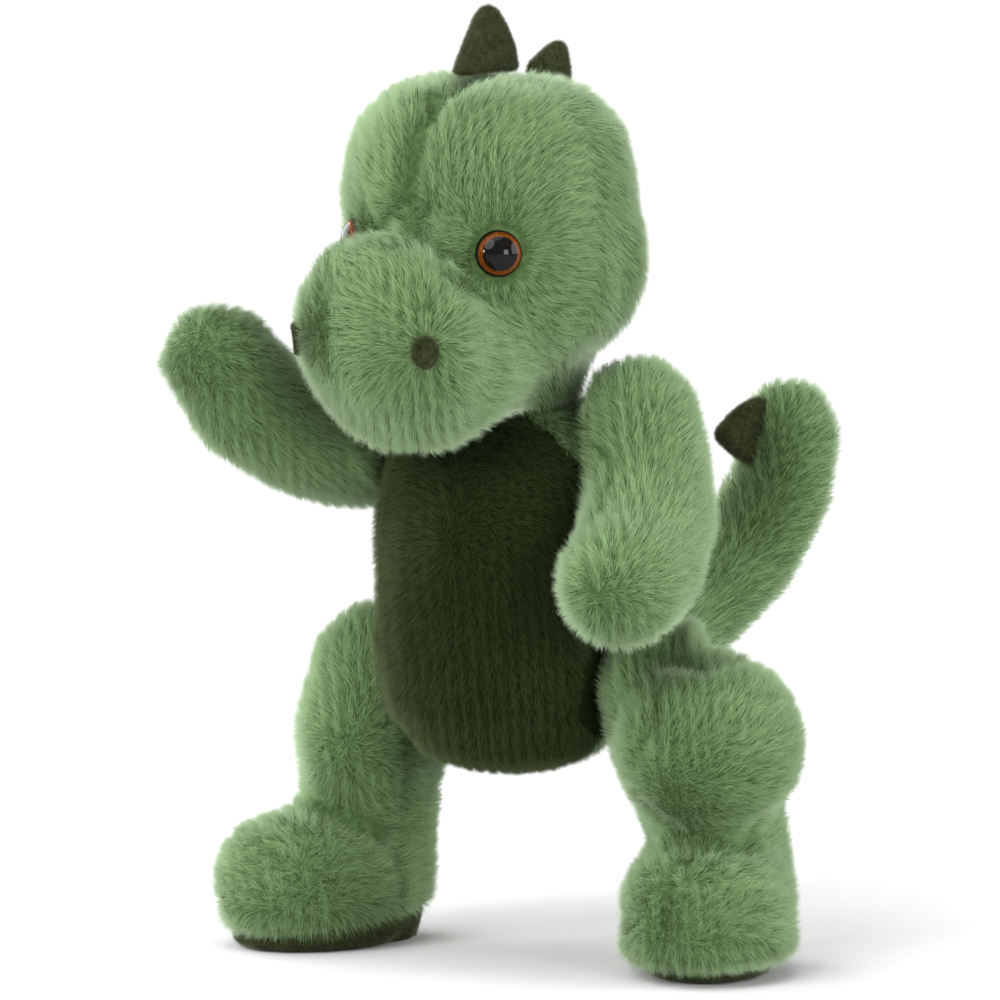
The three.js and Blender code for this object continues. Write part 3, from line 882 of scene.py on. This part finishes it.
HEAD_WHORLS = [
    (LEFT_EYE, 0.024, 5),
    (RIGHT_EYE, 0.024, 5),
    (middle("left_nostril"), 0.022, 5),
    (middle("right_nostril"), 0.022, 5),
    (on_head(0, 38, 24), 0.02, 2),
]
for name, keep, base in (
    ("muzzle_fur", head_panel(is_muzzle, lambda h: h[:, 2] >= CHIN_TO), (0, 0.35, -0.2)),
    ("chin_fur", head_panel(is_muzzle, lambda h: h[:, 2] < CHIN_TO), (0, 0.35, -0.2)),
    (
        "left_head_fur",
        head_panel(is_skull, lambda h: h[:, 0] >= 0, lambda h: h[:, 1] >= BACK_TO),
        (0.2, 0.5, 0.2),
    ),
    (
        "right_head_fur",
        head_panel(is_skull, lambda h: h[:, 0] < 0, lambda h: h[:, 1] >= BACK_TO),
        (-0.2, 0.5, 0.2),
    ),
    ("head_back_fur", head_panel(is_skull, lambda h: h[:, 1] < BACK_TO), (0, 0.3, -1)),
):
    fur(name, "head_skin", "head", keep, base, HEAD_WHORLS)

fur(
    "belly_fur",
    "torso_skin",
    "torso",
    is_belly,
    (0, 0, -0.6),
    [(TORSO_MIDDLE + mm(0, -45, 20), 0.05, 1)],
    BELLY_FUR,
    long=5.0,
    thick=1.3,
)
for side, way in (("left", 1), ("right", -1)):
    fur(
        f"{side}_back_fur",
        "torso_skin",
        "torso",
        lambda p, n: ~is_belly(p, n) & ((p[:, 0] - TORSO_MIDDLE[0]) * way >= 0),
        (0, 0, -1),
        [],
    )
fur("tail_fur", "tail_skin", "torso", everywhere, (0, 1, 0.9), [])
ANKLE = 55 * MM  # the height where a leg's fur meets its foot's
for side, way in (("left", 1), ("right", -1)):
    shoulder = joint_at(f"{side}_shoulder")
    paw = PAWS[side]
    arm_middle = (paw + shoulder) / 2
    out_of_arm = unit(paw - shoulder)
    for name, keep in (
        ("upper_arm_fur", lambda p, n: (p - arm_middle) @ out_of_arm < 0),
        ("paw_fur", lambda p, n: (p - arm_middle) @ out_of_arm >= 0),
    ):
        fur(
            f"{side}_{name}",
            f"{side}_arm_skin",
            f"{side}_arm",
            keep,
            -0.4 * out_of_arm,
            [(paw, 0.03, 2)],
        )
    knee, foot = KNEES[side], FEET[side]
    for name, keep in (
        ("leg_fur", lambda p, n: p[:, 2] > ANKLE),
        (
            "foot_fur",
            lambda p, n: (p[:, 2] > MM * (3 + (11 * sole_rise(p) if side == "right" else 0)))
            & (p[:, 2] <= ANKLE),
        ),
    ):
        fur(
            f"{side}_{name}",
            f"{side}_leg_skin",
            f"{side}_leg",
            keep,
            (0, 0.3, 0.3),
            [(knee, 0.028, 4), (foot, 0.03, 4)],
            floor=22 * MM,
        )

# ---------------------------------------------------------------- eyes and nostrils


def turned_mesh(profile, around):
    """A closed turned shape about Z from [radius, height] points that start and end on the axis."""
    points, faces = [(0, 0, profile[0][1])], []
    for r, z in profile[1:-1]:
        for k in range(around):
            angle = 2 * math.pi * k / around
            points.append((r * math.cos(angle), r * math.sin(angle), z))
    points.append((0, 0, profile[-1][1]))
    last = len(points) - 1
    rings = len(profile) - 2
    for k in range(around):
        j = (k + 1) % around
        faces.append((0, 1 + j, 1 + k))
        for ring in range(rings - 1):
            low, high = 1 + ring * around, 1 + (ring + 1) * around
            faces.append((low + k, low + j, high + j))
            faces.append((low + k, high + j, high + k))
        top = 1 + (rings - 1) * around
        faces.append((top + k, top + j, last))
    return mesh_from(np.array(points, float), faces)


def stand_on(mesh, at, way):
    """Turns a mesh that was made along +Z to stand at a place, facing a way."""
    turn = Vector(way).to_track_quat("Z", "Y").to_matrix().to_4x4()
    mesh.transform(Matrix.Translation(Vector(at)) @ turn)


def eye_material():
    """Black pupil, flecked amber iris and a dark rim, under a clear hard gloss."""
    material, tree, shader = node_material("eye", 0.3, 0.0)
    shader.inputs["Coat Weight"].default_value = 1.0
    shader.inputs["Coat IOR"].default_value = 1.26
    shader.inputs["Coat Roughness"].default_value = 0.03
    uv = add_node(tree, "ShaderNodeUVMap", uv_map="OFBake")
    parts = add_node(tree, "ShaderNodeSeparateXYZ", {"Vector": uv.outputs["UV"]})
    flecks = add_node(
        tree, "ShaderNodeTexVoronoi", {"Vector": uv.outputs["UV"], "Scale": 34.0}
    )
    fine = add_node(
        tree, "ShaderNodeTexNoise", {"Vector": uv.outputs["UV"], "Scale": 60.0, "Detail": 4.0}
    )
    blot = ramp(
        tree,
        flecks.outputs["Distance"],
        [(0.1, linear(30, 11, 2)), (0.4, linear(80, 36, 5)), (0.8, linear(132, 68, 11))],
    )
    fleck = ramp(
        tree, fine.outputs["Fac"], [(0.35, linear(36, 16, 3)), (0.65, linear(122, 62, 10))]
    )
    bands = [
        (0.0, (0, 0, 0, 1)),
        (0.71, (0, 0, 0, 1)),
        (0.75, (1, 1, 1, 1)),
        (0.87, (1, 1, 1, 1)),
        (0.92, (0, 0, 0, 1)),
    ]
    seen = ramp(tree, parts.outputs["Y"], bands)
    color = mix_colors(tree, seen, (0.004, 0.003, 0.003, 1), mix_colors(tree, 0.5, blot, fleck))
    tree.links.new(color, shader.inputs["Base Color"])
    return material


EYE = eye_material()
EYE_R = 9.3 * MM
EYE_DOME = 6.4 * MM
EYE_EDGE = 1.2 * MM  # the straight edge behind the dome
EYE_AROUND, EYE_STEPS = 64, 16
EYE_PROUD = 5.6  # mm that the dome's top stands off the skin
STEM_SHARE = 0.3  # an eye faces partly along its stem and partly along the skin's facing
for side in ("left", "right"):
    node = f"{side}_eye"
    stem = points_of(frame["nodes"][f"{side}_eye_washer"].data).mean(0)
    spot, facing = EYE_SPOTS[side]
    way = unit(STEM_SHARE * unit(middle(node) - stem) + (1 - STEM_SHARE) * facing)
    crown = spot + way * EYE_PROUD * MM
    profile = [(0.0, -EYE_DOME - EYE_EDGE), (EYE_R * 0.98, -EYE_DOME - EYE_EDGE)]
    for k in range(EYE_STEPS):
        angle = math.pi / 2 * k / EYE_STEPS
        profile.append((EYE_R * math.cos(angle), -EYE_DOME * (1 - math.sin(angle))))
    profile.append((0.0, 0.0))
    mesh = turned_mesh(profile, EYE_AROUND)
    local = points_of(mesh)
    radius = np.linalg.norm(local[:, :2], axis=1) / EYE_R
    turn_share = np.arctan2(local[:, 1], local[:, 0]) / (2 * math.pi) + 0.5
    back = local[:, 2] < -EYE_DOME - EYE_EDGE / 2
    radius[back] = 1.0
    uv = mesh.uv_layers.new(name="OFBake")
    corner = np.empty(len(mesh.loops), np.int32)
    mesh.loops.foreach_get("vertex_index", corner)
    share = turn_share[corner].reshape(-1, 3)
    share[(share.max(1) - share.min(1) > 0.5)[:, None] & (share < 0.5)] += 1.0
    both = np.stack([share.ravel() / 1.05, np.clip(radius[corner], 0, 1)], 1)
    uv.data.foreach_set("uv", both.astype(np.float32).ravel())
    mesh.materials.append(EYE)
    mesh.shade_smooth()
    stand_on(mesh, crown, way)
    eyeball = new_object(f"{side}_eyeball", mesh, "head")
    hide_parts(node)


def short_pile(name, mesh, body, material, long, per_metre, keep=None):
    """A fuzz of short pile over a mesh."""
    count = int(area_of(mesh) * per_metre * (1))
    place, normal = scatter(mesh, min(count, MOST_STRANDS), draw)
    if keep is not None:
        chosen = keep(place, normal)
        place, normal = place[chosen], normal[chosen]
    count = len(place)
    along = waves(place, 6 * MM, 31) + draw.normal(size=(count, 3))
    length = long * draw.uniform(0.6, 1.1, count)
    lean = np.radians(draw.uniform(15, 60, count))
    width = MM * draw.uniform(0.08, 0.14, count)
    tone = np.clip(0.45 + 0.25 * draw.normal(size=count), 0, 1)
    strands(name, body, place, normal, along, length, width, lean, tone, material, draw)


def raised_sole(points):
    """The right sole, wider and taller round its inner side."""
    rise = sole_rise(points)[:, None]
    centre = middle("right_sole")
    out = (points - centre) * (1, 1, 0)
    points = points + out * 0.05 * rise
    return points * np.hstack([np.ones_like(rise), np.ones_like(rise), 1 + 1.5 * rise])


def tucked_sole(points):
    """The left sole, drawn in under its foot."""
    centre = middle("left_sole")
    return centre + (points - centre) * (0.9, 0.84, 1)


SPIKE_VOXEL, SOLE_VOXEL = 1.3 * MM, 1.6 * MM
VELOUR_DENSITY, NOSTRIL_DENSITY = 7e6, 9e6  # strands in a square metre


def velour_piece(name, body, node, voxel, rounds, swell_by, pile, shape=None):
    """A small padded velour piece from its CAD node, rounded, swollen a little and napped."""
    mesh = biggest_shell(with_modifier(joined([node]), "REMESH", mode="VOXEL", voxel_size=voxel))
    smoothed(mesh, rounds)
    set_points(mesh, points_of(mesh) + normals_of(mesh) * swell_by)
    if shape is not None:
        set_points(mesh, shape(points_of(mesh)))
    mesh = with_modifier(mesh, "SUBSURF", levels=1)
    mesh.shade_smooth()
    mesh.materials.append(OLIVE_BACKING)
    made = new_object(name, mesh, body)
    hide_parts(node)
    short_pile(f"{name}_pile", mesh, body, OLIVE_PILE, pile, VELOUR_DENSITY)


for node, body in (
    ("front_head_spike", "head"),
    ("rear_head_spike", "head"),
    ("nape_spike", "head"),
    ("upper_back_spike", "torso"),
    ("lower_back_spike", "torso"),
    ("lower_tail_spike", "torso"),
    ("upper_tail_spike", "torso"),
):
    velour_piece(f"{node}_velour", body, node, SPIKE_VOXEL, 3, 0.2 * MM, 1.6 * MM)

# a nostril's cup from its back to its hollow: radius and height, in millimetres
CUP = [(0, -3.0), (4.6, -3.0), (5.9, -1.0), (6.0, 0.6), (5.3, 1.5), (4.3, 1.2), (3.0, 0.1)]
CUP += [(1.6, -0.5), (0, -0.7)]
CUP_AROUND = 32
CUP_PROUD = 1.4  # mm off the skin
CUP_HOLLOW = 3.6 * MM  # no pile inside this radius
for side, sole_shape in (("left", tucked_sole), ("right", raised_sole)):
    velour_piece(
        f"{side}_sole_velour",
        f"{side}_leg",
        f"{side}_sole",
        SOLE_VOXEL,
        2,
        0.0,
        1.5 * MM,
        sole_shape,
    )
    nostril = f"{side}_nostril"
    rim, way = NOSTRIL_SPOTS[side]
    rim = rim + way * CUP_PROUD * MM
    mesh = turned_mesh([(r * MM, z * MM) for r, z in CUP], CUP_AROUND)
    local = points_of(mesh)
    local[:, 0] *= 0.9
    local[:, 1] *= 1.1
    local[:, 2] += 0.7 * MM * np.sin(local[:, 0] / (3 * MM)) * (local[:, 2] > 0)
    set_points(mesh, local)
    stand_on(mesh, rim, way)
    mesh = with_modifier(mesh, "SUBSURF", levels=1)
    mesh.shade_smooth()
    mesh.materials.append(OLIVE_BACKING)
    made = new_object(f"{nostril}_patch", mesh, "head")
    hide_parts(nostril)
    short_pile(
        f"{nostril}_pile",
        mesh,
        "head",
        OLIVE_PILE,
        1.1 * MM,
        NOSTRIL_DENSITY,
        keep=lambda p, n: np.linalg.norm(np.cross(p - rim, way), axis=1) > CUP_HOLLOW,
    )

for node in frame["nodes"].values():
    if not node.hide_render:
        node.data.materials.clear()
        node.data.materials.append(NYLON)

# ---------------------------------------------------------------- the studio

FLOOR_HALF = 30  # metres
FLOOR_GREY = 0.62
corners = [(x * FLOOR_HALF, y * FLOOR_HALF, 0) for x, y in ((-1, -1), (1, -1), (1, 1), (-1, 1))]
floor_mesh = mesh_from(np.array(corners, float), [[0, 1, 2, 3]])
floor = bpy.data.objects.new("floor", floor_mesh)
SCENE.collection.objects.link(floor)
floor_paint, _, floor_shader = node_material("floor_paint", 0.9, 0.0)
floor_shader.inputs["Base Color"].default_value = (FLOOR_GREY, FLOOR_GREY, FLOOR_GREY, 1)
floor_mesh.materials.append(floor_paint)

world = bpy.data.worlds.new("studio")
SCENE.world = world
world.use_nodes = True
background = world.node_tree.nodes["Background"]
background.inputs["Color"].default_value = (1, 1, 1, 1)
background.inputs["Strength"].default_value = 0.42
SCENE.view_settings.view_transform = "Standard"

CAMERA_TURN = math.radians(30)
CAMERA_RISE = math.radians(7)
CAMERA_AWAY = 4.5
VIEW_WIDE = 0.395  # metres across the view at the toy
AIM = Vector((0, 0, 0.190))
AIM_RIGHT, AIM_UP = -0.01936, -0.01106  # metres that the camera slides sideways and up


def from_aim(turn, rise, away):
    """A place round the toy: turn is from its front towards its left, rise above the floor."""
    level = Vector((math.sin(turn), -math.cos(turn), 0))
    return AIM + away * (level * math.cos(rise) + UP * math.sin(rise))


def light(name, turn, rise, away, size, watts):
    """A square softbox aimed at the toy."""
    lamp = bpy.data.lights.new(name, "AREA")
    lamp.size = size
    lamp.energy = watts
    made = bpy.data.objects.new(name, lamp)
    SCENE.collection.objects.link(made)
    made.location = from_aim(math.radians(turn), math.radians(rise), away)
    made.rotation_euler = (AIM - made.location).to_track_quat("-Z", "Y").to_euler()


def sun(name, turn, rise, strength, spread, shadow=True):
    """A sun with a soft edge, given in degrees."""
    lamp = bpy.data.lights.new(name, "SUN")
    lamp.energy = strength
    lamp.angle = math.radians(spread)
    lamp.use_shadow = shadow
    made = bpy.data.objects.new(name, lamp)
    SCENE.collection.objects.link(made)
    where = from_aim(math.radians(turn), math.radians(rise), 1)
    made.rotation_euler = (AIM - where).to_track_quat("-Z", "Y").to_euler()


sun("key", -8, 36, 2.0, 40)
sun("top", -20, 76, 2.1, 60)
sun("left_rim", -100, 10, 3.2, 50)
sun("right_rim", 108, 10, 3.2, 50)
sun("under_fill", 0, -50, 0.4, 60, shadow=False)
sun("left_fill", -72, 18, 0.9, 60, shadow=False)
light("window", -23, 12, 1.6, 0.2, 6)
light("softbox", 58, 10, 1.6, 0.4, 6)

camera = bpy.data.objects.new("camera", bpy.data.cameras.new("camera"))
SCENE.collection.objects.link(camera)
SCENE.camera = camera
camera.location = from_aim(CAMERA_TURN, CAMERA_RISE, CAMERA_AWAY)
camera.rotation_euler = (AIM - camera.location).to_track_quat("-Z", "Y").to_euler()
bpy.context.view_layer.update()
turned = camera.matrix_world.to_3x3()
camera.location += turned @ Vector((AIM_RIGHT, AIM_UP, 0))
camera.data.lens = camera.data.sensor_width * CAMERA_AWAY / VIEW_WIDE
camera.data.clip_end = 100
